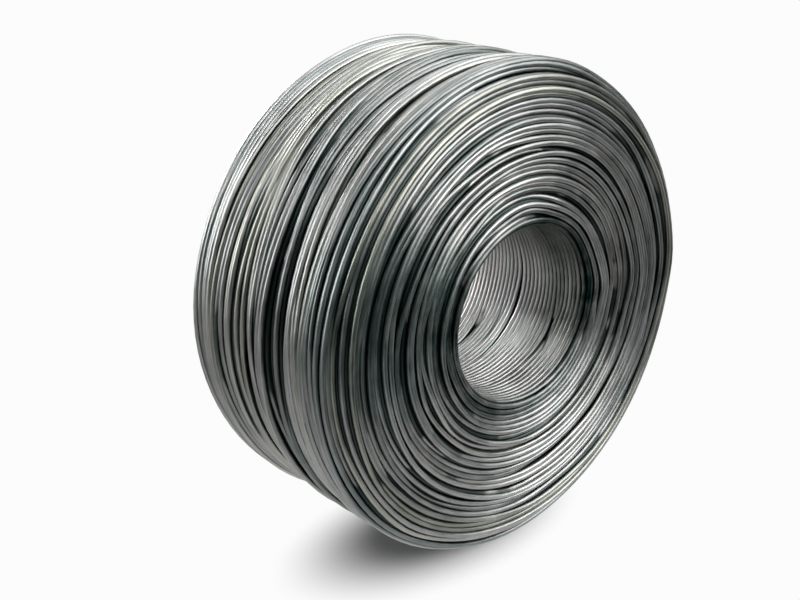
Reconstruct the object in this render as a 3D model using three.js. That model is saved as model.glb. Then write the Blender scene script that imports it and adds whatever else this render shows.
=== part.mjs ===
// A coil of steel wire rod, standing on its rim, in millimetres, +Z up.
//
// The coil is one continuous rod, wound in layers on a drum that was then drawn out, so it is one piece
// of stock with an open bore. It is modelled as one turned solid. Every turn of the rod that shows on
// the outside is a ridge: the end turns of the layers are rings on the two ends, and the turns of the
// last layers go over the rounded shoulders and along the rim. The bore lies along Y, and the origin is
// on the floor, under the middle of the coil.

import * as THREE from "three";

// Driving dimensions.
const rodDiameter = 5.5; // the rod itself
const boreDiameter = 180; // the drum that the coil was wound on
const layers = 30; // wound one over another, from the bore to the rim
const turnsAcross = 43.5; // side by side in a full layer, with the half turn that the next layer shifts by
const shoulderRadius = 38; // the last layers stop ever shorter, which rounds each end into the rim
const boreEdgeRadius = 16; // the foot of the drum's flanges was rounded, which flares the bore at both ends
const grooveDepth = 2.4; // from the crest of a turn to the groove beside it
const bands = 4; // the last layer lies in bands, which stand a little proud of the turns between them
const turnsInBand = 7;
const bandRise = 2.8; // from the outermost turns of a band up to its middle one
const crestFlat = 3; // the middle turn of a band carries the coil on a flat this wide
const segments = 28; // flats round the coil, one of them on the floor

const boreRadius = boreDiameter / 2;
const coilRadius = boreRadius + layers * rodDiameter;
const endY = (turnsAcross * rodDiameter) / 2;
const rimEndY = endY - shoulderRadius;

const steel = new THREE.MeshStandardMaterial({ color: 0x8b8e90, roughness: 0.35, metalness: 0.95 });

// The outline is drawn in radius and Y, with the coil's section on its left as it goes round.
// From the bore at -Y it runs over one end and its shoulder to the rim. The other end mirrors it.
function endPath() {
  const path = new THREE.Path();
  const boreEdge = new THREE.Vector2(boreRadius + boreEdgeRadius, -endY + boreEdgeRadius);
  const shoulder = new THREE.Vector2(coilRadius - shoulderRadius, -rimEndY);
  path.moveTo(boreRadius, boreEdge.y);
  path.absarc(boreEdge.x, boreEdge.y, boreEdgeRadius, Math.PI, 1.5 * Math.PI, false);
  path.absarc(shoulder.x, shoulder.y, shoulderRadius, 1.5 * Math.PI, 2 * Math.PI, false);
  return path;
}

// One end's turns, a rod diameter apart: a crest on the path for each, and the groove that follows it.
function endOutline() {
  const path = endPath();
  const turns = Math.round(path.getLength() / rodDiameter);
  const outline = [path.getPoint(0)];
  for (let turn = 0; turn < turns; turn++) {
    const crest = (turn + 0.5) / turns;
    const groove = (turn + 1) / turns;
    const tangent = path.getTangent(groove);
    const inward = new THREE.Vector2(-tangent.y, tangent.x);
    outline.push(path.getPoint(crest), path.getPoint(groove).addScaledVector(inward, grooveDepth));
  }
  return outline;
}

// The rim's turns, band by band. A turn lies lower the further it is from the middle of its band, and
// the middle turn's crest is flat.
function rimOutline() {
  const outline = [];
  const turns = bands * turnsInBand;
  const pitch = (2 * rimEndY) / turns;
  const middle = (turnsInBand - 1) / 2;
  for (let turn = 0; turn < turns; turn++) {
    const fromMiddle = Math.abs((turn % turnsInBand) - middle) / middle;
    const radius = coilRadius - bandRise * fromMiddle ** 2;
    const y = -rimEndY + (turn + 0.5) * pitch;
    if (fromMiddle === 0) {
      outline.push(new THREE.Vector2(radius, y - crestFlat / 2), new THREE.Vector2(radius, y + crestFlat / 2));
    } else {
      outline.push(new THREE.Vector2(radius, y));
    }
    if (turn < turns - 1) {
      const nextFromMiddle = Math.abs(((turn + 1) % turnsInBand) - middle) / middle;
      const lower = Math.max(fromMiddle, nextFromMiddle);
      outline.push(new THREE.Vector2(coilRadius - bandRise * lower ** 2 - grooveDepth, y + pitch / 2));
    }
  }
  return outline;
}

// The whole outline turned about Y. The flats, not the corners between them, lie on the true circles.
function coilGeometry() {
  const near = endOutline();
  const far = near.map((point) => new THREE.Vector2(point.x, -point.y)).reverse();
  const outline = [...near, ...rimOutline(), ...far, near[0]];
  const cornerReach = 1 / Math.cos(Math.PI / segments);
  const profile = outline.map((point) => new THREE.Vector2(point.x * cornerReach, point.y));
  return new THREE.LatheGeometry(profile, segments, Math.PI / segments);
}

const coil = new THREE.Mesh(coilGeometry(), steel);
coil.name = "wire_rod_coil";
coil.position.z = coilRadius;

const object = new THREE.Group();
object.add(coil);

export default object;
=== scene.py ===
# %% [markdown]
# # A coil of wire rod
# The object is one steel rod, 5.5 mm thick, wound in thirty layers round a drum that was then drawn
# out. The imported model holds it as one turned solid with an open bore. This script shows the rod
# itself: it winds it in code, turn by turn, makes a round tube of all that can be seen of it, and
# gives it the finish of bare drawn steel.

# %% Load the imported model
import math
import time

import bpy
import numpy as np
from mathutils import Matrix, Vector


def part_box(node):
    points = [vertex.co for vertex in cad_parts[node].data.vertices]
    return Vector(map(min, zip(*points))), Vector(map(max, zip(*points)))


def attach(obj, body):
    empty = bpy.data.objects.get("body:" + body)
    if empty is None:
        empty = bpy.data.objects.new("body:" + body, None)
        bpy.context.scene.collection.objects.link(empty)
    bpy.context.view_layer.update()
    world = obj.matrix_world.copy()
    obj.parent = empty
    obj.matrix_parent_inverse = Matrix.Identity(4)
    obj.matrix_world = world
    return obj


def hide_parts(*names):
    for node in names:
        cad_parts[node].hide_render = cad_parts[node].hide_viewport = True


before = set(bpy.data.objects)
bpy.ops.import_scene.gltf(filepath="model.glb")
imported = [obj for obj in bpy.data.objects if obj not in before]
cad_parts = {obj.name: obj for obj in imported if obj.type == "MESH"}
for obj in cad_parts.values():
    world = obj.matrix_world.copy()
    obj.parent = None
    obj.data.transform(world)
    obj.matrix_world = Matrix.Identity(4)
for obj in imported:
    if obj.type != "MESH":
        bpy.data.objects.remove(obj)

started = time.time()
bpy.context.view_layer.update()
low, high = (Vector(corner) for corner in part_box("wire_rod_coil"))
size = high - low
print("coil", [round(v, 4) for v in size], "m, from", [round(v, 4) for v in low])

# %% [markdown]
# ## Sizes
# A coil's outline is set by the drum it was wound on and by how the outer turns sag over its ends:
# a bore that flares a little at both mouths, and broad round shoulders. The outer size comes from
# the frame. The rod, the bore and the two roundings can't be read from a box, so they are written
# here, as in the solid. The rod is shown as a tube with a few flat sides, whose corners lie a
# little outside the true circle. The coil's axis lies along Y, half the height above the floor.

# %% Sizes in metres
ROD = 0.0055
BORE = 0.180
SHOULDER = 0.038
BORE_EDGE = 0.016
TUBE_RADIUS = 1.02 * ROD / 2
coil_radius = size.z / 2
half_width = size.y / 2
centre = Vector((0, 0, low.z + coil_radius))
print(f"radius {coil_radius:.4f}, half width {half_width:.4f}")
print(f"the coil is {2 * coil_radius / ROD:.0f} rods across, and its bore {BORE / ROD:.0f}")

# %% [markdown]
# ## Camera
# The camera stands off the corner between the near end and the rim, a little above the coil, and
# looks at its middle with a 54 mm lens. Turning the camera aside would tilt the coil in
# perspective, so the framing is set by a small shift of the lens instead.

# %% Camera
AZIMUTH = math.radians(-43.0)
ELEVATION = math.radians(20.4)
DISTANCE = 5.0 * coil_radius
FOCAL_LENGTH = 54
FRAMING_SHIFT = (-0.061, -0.017)
back = Vector(
    (
        math.sin(AZIMUTH) * math.cos(ELEVATION),
        -math.cos(AZIMUTH) * math.cos(ELEVATION),
        math.sin(ELEVATION),
    )
)
bpy.ops.object.camera_add(location=centre + back * DISTANCE)
camera = bpy.context.object
camera.rotation_euler = back.to_track_quat("Z", "Y").to_euler()
camera.data.lens = FOCAL_LENGTH
camera.data.shift_x, camera.data.shift_y = FRAMING_SHIFT
bpy.context.scene.camera = camera
print("camera at", [round(v, 3) for v in camera.location])

# %% [markdown]
# ## Winding
# A coil gets its look from how the rod is laid: a guide moves it to and fro while the drum turns,
# so each turn lies beside the last one, strays a little, leaves lens-shaped gaps, and now and then
# climbs over its neighbours. Copying one ring would look machine-perfect and dead, and a physics
# solver would take hours over more than a thousand metres of rod. So the winding is played through
# instead: the drum's surface is a table of how high a turn must lie at each place across the coil
# and at each angle. Every turn is laid on that table, is pulled taut, and raises it. The drum has a
# round foot at both ends, which gives the bore its flared edges.

# %% The drum as a table of heights
STEPS = 96
CELL = ROD / 5
across = np.arange(-half_width - ROD, half_width + ROD + CELL, CELL)
columns = np.arange(STEPS)
foot = BORE_EDGE - ROD / 2
STEEPEST = 0.98
into_foot = np.clip(np.abs(across) - (half_width - BORE_EDGE), 0, STEEPEST * foot)
drum = BORE / 2 + BORE_EDGE - np.sqrt(foot**2 - into_foot**2)
support = np.tile(drum[:, None], STEPS)
random = np.random.default_rng(14)
print(f"{len(across)} places across by {STEPS} angles")


# %% [markdown]
# A layer ends inside the round shoulders and the flared edges of the bore. The guide moves on by
# little more than one rod in a turn, and waits where it turns back, now and then a little early. In
# the last layers it leaves gaps between groups of turns. Each layer could be a row of rings, but
# then no turn would lead over to the next. So it is played as one line of samples, as one rod is
# laid. The lengths of groups are in turns. Gaps, and how far short a layer stops, are in rods.


# %% How far from the middle a layer reaches
LEAST_FLARE = 0.7 * foot


def reach_at(radius):
    """The furthest place of a turn's centre, inside the round shoulders and bore edges."""
    shoulder_start = coil_radius - SHOULDER
    edge_end = BORE / 2 + BORE_EDGE
    if radius > shoulder_start:
        arc = SHOULDER - ROD / 2
        over = math.sqrt(max(arc**2 - (radius - shoulder_start) ** 2, 0))
        return half_width - SHOULDER + over
    if radius < edge_end:
        flare = math.sqrt(foot**2 - (edge_end - radius) ** 2)
        return half_width - BORE_EDGE + max(flare, LEAST_FLARE)
    return half_width - ROD / 2


print(f"the first layer reaches {reach_at(BORE / 2 + ROD / 2):.4f} m to either side")

# %% The guide's travel
LAYERS = 30
LAYER_RISE = 0.97 * ROD
GUIDE_PITCH = 1.02 * ROD
LOOSE_LAYERS = 2
LOOSE_GROUP, TIGHT_GROUP = (0.7, 3), (4, 10)
WIDEST_GAP = 0.5
DWELL = 3 * STEPS // 5
PULL_IN = STEPS // 8
ON_TIME = 0.65
SHORT_IF_EARLY, SHORT_IF_ON_TIME = (0.4, 0.9), (0, 0.25)


def is_loose(layer):
    """The last layers have gaps between groups of turns."""
    return layer >= LAYERS - LOOSE_LAYERS


samples = []
layer, direction, hold, group, left, gap = 0, -1, 0, 0, 0, 0
radius = BORE / 2 + ROD / 2
place = limit = reach_at(radius)
while layer < LAYERS:
    if left == 0:
        group += 1
        left = int(STEPS * random.uniform(*(LOOSE_GROUP if is_loose(layer) else TIGHT_GROUP)))
        gap = ROD * random.uniform(0, WIDEST_GAP) if is_loose(layer) else 0
    left -= 1
    if hold:
        hold -= 1
    else:
        place += direction * (GUIDE_PITCH + (gap if left < STEPS else 0)) / STEPS
    if place * direction > limit:
        layer += 1
        radius += LAYER_RISE
        early = random.random() > ON_TIME
        short = random.uniform(*(SHORT_IF_EARLY if early else SHORT_IF_ON_TIME))
        limit = reach_at(radius) - short * ROD
        hold = DWELL
        direction = -direction
    place -= math.copysign(max(abs(place) - limit, 0) / PULL_IN, place)
    samples.append((place, direction, layer, group, radius, reach_at(radius)))
turns = len(samples) // STEPS
travel, sense, layers, groups, radii, reaches = np.array(samples[: turns * STEPS]).T


def eased(values, length):
    """Spreads each step in the values over a length of samples."""
    padded = np.pad(values, (length // 2, length - 1 - length // 2), "edge")
    return np.convolve(padded, np.ones(length) / length, "valid")


radii = eased(radii, STEPS // 2)
reaches = eased(reaches, STEPS // 4)
print(f"{turns} turns in {layers[-1] + 1:.0f} layers, {groups[-1]:.0f} groups")


# %% [markdown]
# A rod isn't quite straight when it reaches the coil, because it keeps some bends of the coil that
# it came from. Plain noise would make it shake, so it wanders in a sum of a few slow waves. Their
# bends come back at nearly the same angle in the next turn, so that neighbours run side by side for
# a while and then part. Inside the coil the turns hold each other straight, so they stray less.


# %% How the rod strays from the guide
def stray(phase, lowest, highest, waves, drift):
    """A smooth wander. Whole frequencies repeat from turn to turn, and drift blurs that."""
    total = np.zeros_like(phase)
    for _ in range(waves):
        frequency = random.integers(lowest, highest + 1) + random.normal(0, drift)
        wave = np.sin(frequency * phase + random.uniform(0, 2 * math.pi))
        total += wave * random.uniform(0.4, 1)
    return total / math.sqrt(waves)


BORE_LAYERS = 2
SWAY_IN_BORE, SWAY_INSIDE, SWAY_OUTSIDE = 0.9, 0.35, 1.1
SHIVER = 0.2
phase = np.arange(turns * STEPS) * (2 * math.pi / STEPS)
wander = np.zeros(turns * STEPS)
for group in range(1, int(groups[-1]) + 1):
    first, last = np.searchsorted(groups, (group, group + 1))
    span = np.arange(max(first - STEPS // 2, 0), min(last + STEPS // 2, turns * STEPS))
    fade = np.clip(np.minimum(span - first, last - span) / STEPS + 0.5, 0, 1)
    sway = SWAY_OUTSIDE if is_loose(layers[first]) else SWAY_INSIDE
    if layers[first] < BORE_LAYERS:
        sway = SWAY_IN_BORE
    slow = sway * stray(phase[span], lowest=1, highest=3, waves=3, drift=0.03)
    fast = SHIVER * stray(phase[span], lowest=3, highest=8, waves=4, drift=0.2)
    wander[span] += fade * (slow + fast)
guide = np.clip(travel + ROD * wander, -reaches, reaches)
print(f"the rod strays {wander.std():.2f} rods as a rule, {np.abs(wander).max():.2f} at most")

# %% [markdown]
# Two round turns that lie side by side only just touch, and a circle is steep there: laid a hair
# too close, the next one would be lifted by a quarter of a rod. The real rod slips sideways
# instead, so the lift fades out towards the side. That leaves neighbours overlapping a little, by
# a twentieth of a rod as a rule. A turn near the end of its layer hangs on its neighbours' tension,
# so none falls far below its layer's radius. The sizes here are in rods.

# %% Lay one turn on what is wound already
CARRIED = 0.93
SIDE_DROP = 0.37
PRESSED_IN = 0.06
SAG = 0.45
TAUT_PASSES, SOFT_PASSES = 24, 12


def lay(place, lowest):
    """Rests a turn on the table, pulls it taut, and raises the table under it."""
    spot = (place - across[0]) / CELL
    below = np.clip(spot.astype(int), 0, len(across) - 2)
    part = spot - below
    rest = support[below, columns] * (1 - part) + support[below + 1, columns] * part
    rest = np.maximum(rest, lowest)
    height = rest
    chord = math.cos(2 * math.pi / STEPS)
    for _ in range(TAUT_PASSES):
        height = np.maximum(rest, (np.roll(height, 1) + np.roll(height, -1)) / 2 * chord)
    for _ in range(SOFT_PASSES):
        smooth = (np.roll(height, 1) + 2 * height + np.roll(height, -1)) / 4
        height = np.maximum(rest - PRESSED_IN * ROD, smooth)
    reach = int(ROD / CELL) + 1
    for offset in range(-reach, reach + 1):
        row = np.clip(below + offset, 0, len(across) - 1)
        apart = np.abs(across[row] - place) / ROD
        circle = np.sqrt(np.maximum(1 - apart**2, 0))
        rise = ROD * (circle - SIDE_DROP * (apart / CARRIED) ** 4)
        lifted = np.where(apart < CARRIED, height + rise, 0)
        support[row, columns] = np.maximum(support[row, columns], lifted)
    return height


print(f"a turn carries what lies less than {CARRIED * ROD * 1000:.1f} mm to its side")

# %% [markdown]
# A turn that lands on the side of the last one rolls off and comes to lie beside it. One that lands
# on its middle stays up and crosses over, more often in the loose layers. Either way it bends
# gently, so its place is smoothed along the rod.

# %% Wind the coil
LOOSE_SLIP, TIGHT_SLIP = 0.55, 0.25
BEND_PASSES = 3
places = np.zeros((turns, STEPS))
heights = np.zeros((turns, STEPS))
for turn in range(turns):
    now = slice(turn * STEPS, (turn + 1) * STEPS)
    place = guide[now]
    if turn:
        ahead = (place - places[turn - 1]) * sense[now] / ROD
        beside = places[turn - 1] + sense[now] * ROD
        slip = LOOSE_SLIP if is_loose(layers[now.start]) else TIGHT_SLIP
        place = np.where((ahead < 1) & (ahead > slip), beside, place)
        off = place - travel[now]
        for _ in range(BEND_PASSES):
            off = (np.roll(off, 1) + 2 * off + np.roll(off, -1)) / 4
        place = np.clip(travel[now] + off, -reaches[now], reaches[now])
    places[turn] = place
    heights[turn] = lay(place, radii[now] - SAG * ROD)
print(f"wound out to {heights.max() + ROD / 2:.4f} m in {time.time() - started:.1f} s")

# %% [markdown]
# Turns that rest on each other come out a little higher or lower than the solid. So the winding is
# stretched until four in five points of its last layer lie under the rim, and those that ride over
# their neighbours are pressed down softly. Cutting them off at one height would leave flat places.
# It has a price that real rod doesn't pay: a turn that is pressed down cuts into the turns it
# crosses, on the rim by more than half a rod in many places, and by nearly a whole rod at worst.

# %% Fit the winding to the coil's outline
MOST_TURNS = 80
SPARE = 0.1 * ROD
PRESS = 0.5 * ROD
top = coil_radius - TUBE_RADIUS
last_layer = (layers == LAYERS - 1).reshape(turns, STEPS)
flat = last_layer & (np.abs(places) < half_width - SHOULDER)
usual = np.percentile(heights[flat], MOST_TURNS)
heights = BORE / 2 + (heights - BORE / 2) * (top - SPARE - BORE / 2) / (usual - BORE / 2)
over = np.maximum(heights - (top - PRESS), 0)
heights = np.minimum(heights, top - PRESS) + PRESS * (1 - np.exp(-over / PRESS))
places *= (half_width - TUBE_RADIUS) / (half_width - ROD / 2)
print(f"most were under {usual:.4f} m, and none now reaches over {heights.max() + ROD / 2:.4f} m")

# %% [markdown]
# ## The rod that shows
# Only the outer two or three turns of the section can be seen. A tube for every turn would be a
# million faces or more, so the rod is kept where little lies over it, as seen from the rim, from
# either end or from the bore, and everything deeper is one turned body.


# %% What lies over each point of the rod
def cover(along, outward):
    """How much rod lies over each point, in metres: along is its place, outward its height."""
    cell = ROD / 2
    row = ((along - along.min()) / cell).astype(int)
    column = np.tile(columns, len(along) // STEPS)
    top = np.full((row.max() + 1, STEPS), -1.0)
    np.maximum.at(top, (row, column), outward)
    wide = np.pad(top, ((1, 1), (0, 0)), constant_values=-1.0)
    top = np.maximum(np.maximum(wide[:-2], wide[2:]), top)
    return top[row, column] - outward


y_along = places.ravel().copy()
r_along = heights.ravel().copy()
for _ in range(2):
    y_along[1:-1] = (y_along[:-2] + 2 * y_along[1:-1] + y_along[2:]) / 4
    r_along[1:-1] = (r_along[:-2] + 2 * r_along[1:-1] + r_along[2:]) / 4
covers = {
    "rim": cover(y_along, r_along),
    "near_end": cover(r_along, -y_along),
    "far_end": cover(r_along, y_along),
    "bore": cover(y_along, -r_along),
}
MOST_COVER = {"rim": 1.9 * ROD, "near_end": 1.6 * ROD, "far_end": 1.6 * ROD, "bore": 1.3 * ROD}
seen = np.zeros(len(phase), bool)
for side, covered in covers.items():
    shows = covered < MOST_COVER[side]
    print(f"{side}: {shows.mean() * turns:.0f} turns' worth of rod shows")
    seen |= shows


# %% Cut the rod into the runs that show
HIDDEN_LENGTH = 7


def runs_of(mask):
    """First and last sample of every stretch where the mask holds, lengthened to hide its ends."""
    wide = np.convolve(mask, np.ones(HIDDEN_LENGTH), "same") > 0
    edges = np.flatnonzero(np.diff(np.concatenate(([0], wide.astype(int), [0]))))
    return list(zip(edges[::2], edges[1::2]))


points = np.column_stack((r_along * np.cos(phase), y_along, centre.z + r_along * np.sin(phase)))
gap_below = points[:, 2].min() - TUBE_RADIUS - low.z
points[:, 2] -= gap_below
print(f"lowered by {gap_below * 1000:.2f} mm, so that it stands on its lowest turns")
runs = runs_of(seen)
print(f"{len(runs)} runs, {sum(b - a for a, b in runs)} points")


# %% [markdown]
# No two turns have the same shade, because the die, the soap and the air changed while the rod was
# drawn. A pattern in space would paint neighbours alike. So the shade and the tint are worked out
# along the rod, and its mesh carries them as attributes.


# %% How the steel changes along the rod
def mottle(samples_apart):
    """Random values between -1 and 1 along the rod, joined by straight lines."""
    knots = np.arange(0, len(phase) + samples_apart, samples_apart)
    return np.interp(np.arange(len(phase)), knots, random.uniform(-1, 1, len(knots)))


shade = 0.6 * mottle(STEPS // 3) + 0.4 * mottle(4 * STEPS)
tint = 0.5 * mottle(STEPS // 2) + 0.5 * mottle(5 * STEPS)
print(f"shade {shade.min():.2f} to {shade.max():.2f}, tint {tint.min():.2f} to {tint.max():.2f}")


# %% [markdown]
# A curve with a round bevel is the simplest way to sweep a section along a line. It then becomes a
# mesh, because a curve can't carry attributes. One of them says how deep each point lies between
# the turns, which is where the material paints shade into the gaps. All runs that are seen from one
# side are one mesh.

# %% How deep a vertex lies
def depth_below(mesh, sample):
    """How deep each vertex lies below the nearest side of the coil, in rods."""
    corners = np.zeros(3 * len(mesh.vertices))
    mesh.vertices.foreach_get("co", corners)
    off = corners.reshape(-1, 3) - points[sample]
    outwards = off[:, 0] * np.cos(phase[sample]) + off[:, 2] * np.sin(phase[sample])
    facing = {"rim": outwards, "near_end": -off[:, 1], "far_end": off[:, 1], "bore": -outwards}
    depths = [covers[side][sample] + ROD / 2 - facing[side] for side in covers]
    return np.min(depths, axis=0) / ROD


# %% [markdown]
# The mesh made from a curve holds the vertices of all end caps first, from the last tube to the
# first one, and then the rings, one for each point. That order tells which sample of the rod each
# vertex belongs to.

# %% Make tubes of a group of runs
SIDES = 8


def tube_piece(name, group):
    """One mesh of round tubes with closed ends, along the given runs of the rod."""
    curve = bpy.data.curves.new(name, "CURVE")
    curve.dimensions = "3D"
    curve.bevel_depth = TUBE_RADIUS
    curve.bevel_resolution = SIDES // 4
    curve.use_fill_caps = True
    for first, last in group:
        spline = curve.splines.new("POLY")
        spline.points.add(last - first - 1)
        line = np.column_stack((points[first:last], np.ones(last - first)))
        spline.points.foreach_set("co", line.ravel())
    piece = bpy.data.objects.new(name, curve)
    bpy.context.collection.objects.link(piece)
    bpy.ops.object.select_all(action="DESELECT")
    piece.select_set(True)
    bpy.context.view_layer.objects.active = piece
    bpy.ops.object.convert(target="MESH")
    piece = bpy.context.object
    bpy.ops.object.shade_smooth()
    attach(piece, "root")
    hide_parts("wire_rod_coil")
    sample = [np.repeat((last - 1, first), SIDES) for first, last in reversed(group)]
    sample += [np.repeat(np.arange(first, last), SIDES) for first, last in group]
    sample = np.concatenate(sample)
    depth = depth_below(piece.data, sample)
    for label, values in (("shade", shade[sample]), ("tint", tint[sample]), ("depth", depth)):
        piece.data.attributes.new(label, "FLOAT", "POINT").data.foreach_set("value", values)
    faces = sum(len(polygon.vertices) - 2 for polygon in piece.data.polygons)
    print(f"{name}: {len(group)} runs, {faces} triangles")
    return piece


# %% Share out the runs
bundles = {side: [] for side in covers}
for first, last in runs:
    share = {side: np.mean(covers[side][first:last] < MOST_COVER[side]) for side in covers}
    bundles[max(share, key=share.get)].append((first, last))
pieces = [tube_piece(side + "_turns", bundle) for side, bundle in bundles.items()]
print(f"{len(pieces)} pieces, {time.time() - started:.1f} s since the start")


# %% [markdown]
# ## The turns under them
# Where a gap between turns is deep, the eye meets turns that were left out. One turned body stands
# for them, about two and a half rods below the surface, and the painted shade of the gaps makes it
# dark. It starts as a cylinder. Its ends are inset and bridged to open the bore, and its edges are
# bevelled like the coil's own shoulders.


# %% The body under the visible turns
def choose(kind, mesh, parts, wanted):
    """Deselects all, and selects the faces or edges that are wanted, as a click on each would."""
    bpy.ops.object.mode_set(mode="EDIT")
    bpy.ops.mesh.select_mode(type=kind)
    bpy.ops.mesh.select_all(action="DESELECT")
    bpy.ops.object.mode_set(mode="OBJECT")
    for part in parts(mesh):
        part.select = wanted(part)
    bpy.ops.object.mode_set(mode="EDIT")


DEPTH = 2.6 * ROD
BEVEL_STEPS = 6
body_radius = coil_radius - DEPTH
body_bore = BORE / 2 + DEPTH
bpy.ops.object.select_all(action="DESELECT")
bpy.ops.mesh.primitive_cylinder_add(
    vertices=STEPS,
    radius=body_radius,
    depth=2 * (half_width - DEPTH),
    location=centre,
    rotation=(math.pi / 2, 0, 0),
)
body = bpy.context.object
body.name = body.data.name = "inner_turns"
bpy.ops.object.transform_apply(location=True, rotation=True, scale=True)
choose("FACE", body.data, lambda mesh: mesh.polygons, lambda face: abs(face.normal.y) > 0.9)
bpy.ops.mesh.inset(thickness=body_radius - body_bore)
bpy.ops.mesh.bridge_edge_loops()


def on_ring(radius):
    """A test for edges that lie round either end, this far from the axis."""
    close = 0.001

    def test(edge):
        one, two = (body.data.vertices[i].co for i in edge.vertices)
        off_ring = (math.hypot(end.x, end.z - centre.z) - radius for end in (one, two))
        return abs(one.y - two.y) < close and all(abs(off) < close for off in off_ring)

    return test


for radius, round_over in ((body_radius, SHOULDER - DEPTH), (body_bore, BORE_EDGE - DEPTH)):
    choose("EDGE", body.data, lambda mesh: mesh.edges, on_ring(radius))
    bpy.ops.mesh.bevel(offset=round_over, segments=BEVEL_STEPS, affect="EDGES")
bpy.ops.object.mode_set(mode="OBJECT")
# Its depth is full, so the painted shade of the gaps makes the body nearly black.
body.data.attributes.new("depth", "FLOAT", "POINT").data.foreach_set(
    "value", [DEPTH / ROD] * len(body.data.vertices)
)
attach(body, "root")
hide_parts("wire_rod_coil")
pieces.append(body)
print(f"{body.name}: {len(body.data.polygons)} faces")

# %% [markdown]
# ## Bare drawn steel
# The rod came through a die, so its skin is bright bare steel with fine lines along it. No two
# turns look the same: the skin is a little paler or darker along its length, here and there with a
# touch of olive or blue-green oil. Such a material takes dozens of nodes. They could be added one
# by one, but nobody can read that, so two small classes let them be written as formulas.

# %% Write shader maths as expressions
class Value:
    """Wraps a socket, so that sums on it add Math nodes to its shader."""

    def __init__(self, shader, socket):
        self.shader, self.socket = shader, socket

    def math(self, operation, *values):
        return self.shader.add("ShaderNodeMath", {"operation": operation}, values)

    def __add__(self, other):
        return self.math("ADD", self, other)

    def __mul__(self, other):
        return self.math("MULTIPLY", self, other)

    def __sub__(self, other):
        return self.math("SUBTRACT", self, other)

    def __rsub__(self, other):
        return self.math("SUBTRACT", other, self)

    def __truediv__(self, other):
        return self.math("DIVIDE", self, other)

    __radd__ = __add__
    __rmul__ = __mul__

    def root(self):
        return self.math("SQRT", self)

    def at_most(self, most):
        return self.math("MINIMUM", self, most)

    def ramp(self, low, high, start=0, end=1):
        """Goes smoothly from start to end while this value goes from low to high."""
        settings = {"interpolation_type": "SMOOTHSTEP"}
        return self.shader.add("ShaderNodeMapRange", settings, [self, low, high, start, end])


class Shader:
    """The nodes of a material or a world, added one call at a time."""

    def __init__(self, owner, last):
        owner.use_nodes = True
        self.owner, self.tree = owner, owner.node_tree
        self.last = self.tree.nodes[last]

    def add(self, kind, settings, values, output=0):
        """Adds a node, sets it, fills its inputs from a list or by name, and gives one output."""
        node = self.tree.nodes.new(kind)
        for key, value in settings.items():
            setattr(node, key, value)
        for key, value in values.items() if isinstance(values, dict) else enumerate(values):
            self.put(node.inputs[key], value)
        return Value(self, node.outputs[output])

    def put(self, socket, value):
        if isinstance(value, Value):
            self.tree.links.new(value.socket, socket)
        else:
            socket.default_value = value

    def set(self, **values):
        """Fills the last node's inputs."""
        for name, value in values.items():
            self.put(self.last.inputs[name.replace("_", " ")], value)

    def attribute(self, name):
        return self.add("ShaderNodeAttribute", {"attribute_name": name}, [], "Fac")

    def mix(self, amount, first, second, blend="MIX", clamped=True):
        """Blends two colours. Where it isn't clamped, an amount over 1 goes past the second."""
        settings = {"data_type": "RGBA", "blend_type": blend, "clamp_factor": clamped}
        return self.add("ShaderNodeMix", settings, {0: amount, 6: first, 7: second}, 2)

    def along(self, direction):
        """How far the surface lies in a direction, in metres if the direction is one long."""
        place = self.add("ShaderNodeTexCoord", {}, [], "Object")
        settings = {"operation": "DOT_PRODUCT"}
        return self.add("ShaderNodeVectorMath", settings, [place, direction], "Value")


# %% [markdown]
# The finish, with its painted light and shade, depends on the place: the distance from the axis
# tells the bore from the ends, and the place along the axis tells the mouths from the middle. The
# die's lines run along the rod. Their noise is read with the direction from the axis as two of its
# four coordinates, so it is long round the coil, fine across the rod, and closes on itself without
# a seam.

# %% Places on the coil
steel = Shader(bpy.data.materials.new("drawn_steel"), "Principled BSDF")
x, y, z = (steel.along(axis) for axis in ((1, 0, 0), (0, 1, 0), (0, 0, 1)))
z = z - centre.z
from_axis = (x * x + z * z).root()
in_bore = from_axis.ramp(BORE / 2 + 2 * ROD, BORE / 2 + ROD)
round_mouths = from_axis.ramp(BORE / 2 + 2 * BORE_EDGE, BORE / 2 + 0.8 * BORE_EDGE)
at_ends = (y * y).root().ramp(half_width - BORE_EDGE, half_width - ROD)
# Painted shade: a soft dark patch on the near end, at the left of the bore.
DARK_PATCH_X, DARK_PATCH_Z = -0.17, 0.03
from_dark_patch = (x - DARK_PATCH_X, y + half_width, z - DARK_PATCH_Z)
painted_dark_patch = sum(way * way for way in from_dark_patch).root().ramp(0.12, 0.04)
print(f"the mouths darken up to {2 * BORE_EDGE:.3f} m outside the bore")


# %% Streaks along the rod
def streaks(across_scale, along_scale, detail):
    """Noise between 0 and 1 that is fine across the rod and long along it."""
    vector = steel.add(
        "ShaderNodeCombineXYZ",
        {},
        [from_axis * across_scale, y * across_scale, x / from_axis * along_scale],
    )
    return steel.add(
        "ShaderNodeTexNoise",
        {"noise_dimensions": "4D"},
        {"Vector": vector, "W": z / from_axis * along_scale, "Scale": 1.0, "Detail": detail},
    )


PATCH = ROD / 0.35
FINE_LINE = ROD / 7
broad = streaks(1 / PATCH, 6, 2)
fine = streaks(1 / FINE_LINE, 10, 3)
print(f"broad patches {PATCH:.4f} m across, fine lines {FINE_LINE:.4f} m")
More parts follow.
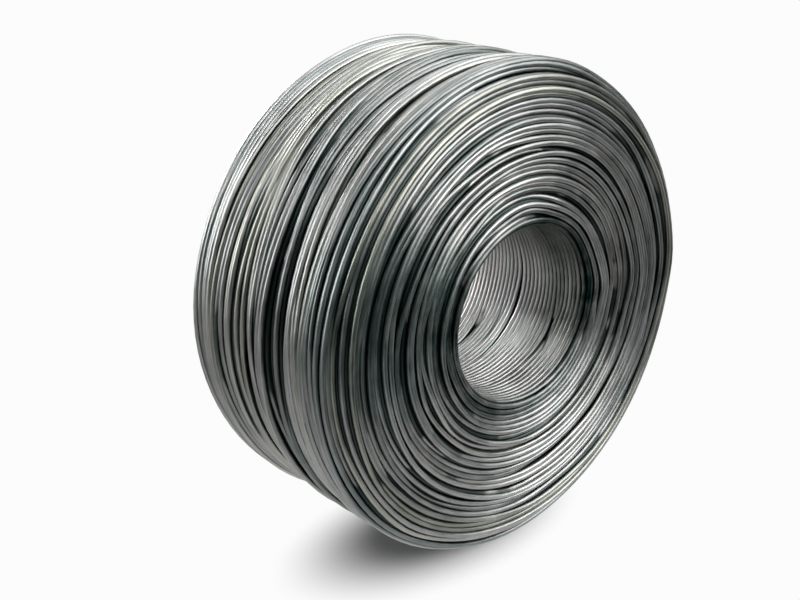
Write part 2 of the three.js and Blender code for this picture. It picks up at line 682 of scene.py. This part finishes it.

# %% [markdown]
# The colour runs between a dark and a bright steel. A dark patch on the near end, at the left of
# the bore, is painted shade, and so is the darkening of the rounded mouths. The bore is painted
# lighter at its bottom and in its far half and darker at its near mouth, as painted light and
# shade. The painted light goes past the bright steel, but nothing is brighter than white, so it has
# an upper limit.

# %% Shade of the steel
DARK_STEEL, BRIGHT_STEEL = (0.196, 0.222, 0.215, 1), (0.768, 0.755, 0.745, 1)
BRIGHTEST = 1.38
shades = steel.attribute("shade") * 0.8 + (broad - 0.5) * 1.6 + (fine - 0.5) * 1.3
# Painted light and shade in the bore: lighter at its bottom and far half, darker at its near mouth.
painted_bore_light = y.ramp(-0.1, 0.0, -0.35, 0.95) + z.ramp(-0.06, 0, 0.5, 0)
# Painted shade: the rounded mouths at the ends and the dark patch are darkened.
darker = round_mouths * at_ends * 0.25 + painted_dark_patch * 0.28
pale = (shades.ramp(-1.3, 1.3) + in_bore * painted_bore_light - darker).at_most(BRIGHTEST)
colour = steel.mix(pale, DARK_STEEL, BRIGHT_STEEL, clamped=False)
most = [dark + (bright - dark) * BRIGHTEST for dark, bright in zip(DARK_STEEL, BRIGHT_STEEL)]
print("the brightest steel is", [round(value, 2) for value in most[:3]])

# %% [markdown]
# Oil tints the steel in places, and the painted dark patch on the near end is tinted blue-green. A
# tint takes a little of one colour away, so it multiplies. The bore's top is painted darker, as
# painted shade. Rod that lies deep between the turns is painted nearly black, as painted shade in
# the gaps. This shade is stronger in the bore and weaker near the coil's top, where the gaps are
# lit. Both cover the steel, so they are mixed in.

# %% Tints and grime
OLIVE, BLUE_GREEN, DARK_PATCH_TINT = (1, 1, 0.91, 1), (0.95, 0.99, 1, 1), (0.88, 1, 0.98, 1)
BORE_TOP_SHADE, GAP_SHADE_COLOUR = (0.1, 0.105, 0.085, 1), (0.002, 0.026, 0.023, 1)
tints = steel.attribute("tint")
olive = tints.ramp(-0.1, 0.6) * from_axis.ramp(0.15, 0.25, 0.3, 1)
colour = steel.mix(olive, colour, OLIVE, "MULTIPLY")
colour = steel.mix(tints.ramp(-0.1, -0.7), colour, BLUE_GREEN, "MULTIPLY")
# Painted shade: the top of the bore is mixed towards a dark olive.
painted_bore_top_shade = in_bore * z.ramp(0.0, 0.05, 0, 0.55)
colour = steel.mix(painted_bore_top_shade, colour, BORE_TOP_SHADE)
# The painted dark patch is tinted blue-green.
colour = steel.mix(painted_dark_patch, colour, DARK_PATCH_TINT, "MULTIPLY")
# Painted shade: rod that lies deep between the turns is mixed towards near black.
painted_gap_shade = (steel.attribute("depth") + in_bore * 0.23).ramp(0.18, 0.83)
painted_gap_shade = painted_gap_shade * (z.ramp(0.17, 0.26, 0.86, 0.45) + in_bore * 0.14)
colour = steel.mix(painted_gap_shade, colour, GAP_SHADE_COLOUR)
print("olive, blue-green and oil tint the steel, and grime darkens it between the turns")

# %% [markdown]
# Drawn steel is glossy but not polished, because its fine lines blur what it mirrors. So the lines
# set the roughness, and a bump makes them catch the light.

# %% Gloss of the steel
rough = (fine * 0.6 + broad * 0.4).ramp(0.25, 0.75, 0.29, 0.46) + in_bore * 0.02
bump = steel.add("ShaderNodeBump", {}, {"Strength": 0.55, "Distance": 0.0003, "Height": fine})
steel.set(Base_Color=colour, Roughness=rough, Metallic=1.0, Normal=bump)
for piece in pieces:
    piece.data.materials.clear()
    piece.data.materials.append(steel.owner)
print(f"{steel.owner.name} on {len(pieces)} pieces, {len(steel.tree.nodes)} nodes")

# %% [markdown]
# ## Floor
# The coil stands on white studio paper. Lamps strong enough to make it white would bleach the
# steel, so the paper glows white for the camera's own rays, apart from a soft spot round the place
# where the coil touches it. Inside the spot the paper is painted grey, a painted shadow, and it
# also takes the coil's real shadow. Steel is a mirror, and it looks like steel because much of what
# it mirrors is dark. So the rays that the steel sends out find paper that glows behind the coil,
# fades out in front of its near end and towards the camera, and is dimmer at the left. The rest is
# the unlit studio.

# %% Floor
FLOOR_SIZE = 14
bpy.ops.mesh.primitive_plane_add(size=FLOOR_SIZE, location=(0, 0, low.z))
floor = bpy.context.object
floor.name = "floor"
paper = Shader(bpy.data.materials.new("paper"), "Principled BSDF")
floor.data.materials.append(paper.owner)


def towards(azimuth, elevation):
    """The direction that an azimuth and an elevation in degrees point in."""
    a, e = math.radians(azimuth), math.radians(elevation)
    return Vector((math.cos(e) * math.cos(a), math.cos(e) * math.sin(a), math.sin(e)))


print("the camera's side is", [round(v, 2) for v in towards(227, 0)])

# %% Paper
WHITE = 0.97
# Inside the spot the paper is painted grey, a painted shadow.
PAINTED_SHADOW_GREY, BLACK = (0.25, 0.25, 0.25, 1), (0, 0, 0, 1)
spot_x, spot_y = -0.05, -0.03
spot_long, spot_wide = 0.11, 0.061
from_x = (paper.along((1, 0, 0)) - spot_x) / spot_long
from_y = (paper.along((0, 1, 0)) - spot_y) / spot_wide
outside_spot = (from_x * from_x + from_y * from_y).root().ramp(0.58, 1.88)
camera_sees = paper.add("ShaderNodeLightPath", {}, [], "Is Camera Ray")
steel_sees = paper.add("ShaderNodeLightPath", {}, [], "Is Glossy Ray")
fades_to_near_end = paper.along(towards(285, 0)).ramp(0.15, 0.5, 0.42, 0.02)
fades_to_camera = paper.along(towards(230, 0)).ramp(-0.1, 0.25, 0.19, 0)
dimmer_at_left = paper.along(towards(130, 0)).ramp(0.1, 0.5, 1.2, 0.5)
for_steel = steel_sees * (fades_to_near_end + fades_to_camera) * dimmer_at_left
glow = camera_sees * WHITE * outside_spot + for_steel
paper.set(
    Base_Color=paper.mix(outside_spot, PAINTED_SHADOW_GREY, BLACK),
    Emission_Color=glow,
    Emission_Strength=1.0,
    Roughness=0.9,
    Specular_IOR_Level=0.0,
)
print(f"the spot is {2 * spot_long:.2f} by {2 * spot_wide:.2f} m")

# %% [markdown]
# ## Studio light
# Bare steel shows its lamps as long soft streaks over every turn. One big box overhead would give
# every turn the same streak, so seven soft lamps stand round the coil: a key light in front at the
# right, a wide one above, and others at the left, at the right, behind, in front and low down. They
# are suns, which don't fall off with distance. Low down, the camera's side stays dark, for the deep
# shades in the steel. Together they light a white surface on the floor to a little over 1, so a
# colour renders about as it is written. The world is white for the camera, and for the steel a
# trace of the blue-green that oiled steel has in its shades.

# %% The world
STUDIO_GLOW = 0.018
STUDIO_SHADE, BACKGROUND = (0.1, 1, 0.9, 1), (1, 1, 1, 1)
scene = bpy.context.scene
scene.view_settings.view_transform = "Standard"
scene.world = bpy.data.worlds.new("studio")
studio = Shader(scene.world, "Background")
camera_sees = studio.add("ShaderNodeLightPath", {}, [], "Is Camera Ray")
studio.set(
    Color=studio.mix(camera_sees, STUDIO_SHADE, BACKGROUND),
    Strength=camera_sees.ramp(0, 1, STUDIO_GLOW, WHITE),
)
print("view transform", scene.view_settings.view_transform)


# %% Lamps
def sun(name, azimuth, elevation, width, energy):
    """A soft light from far away, as wide as it looks from the coil, in degrees."""
    bpy.ops.object.light_add(type="SUN", location=centre + towards(azimuth, elevation) * 2)
    light = bpy.context.object
    light.name = name
    light.data.energy = energy
    light.data.angle = math.radians(width)
    light.rotation_euler = towards(azimuth, elevation).to_track_quat("Z", "Y").to_euler()
    return energy * math.sin(math.radians(elevation)) / math.pi


level = sum(
    (
        sun("key", 297, 34, 50, 1.5),
        sun("left", 158, 20, 44, 1.35),
        sun("above", 40, 62, 68, 1.05),
        sun("right", 350, 40, 44, 0.6),
        sun("behind", 85, 8, 25, 1.75),
        sun("front", 250, 44, 48, 0.8),
        sun("low", 305, 8, 36, 0.27),
    )
)
print(f"a white surface on the floor would render as {level:.2f}")
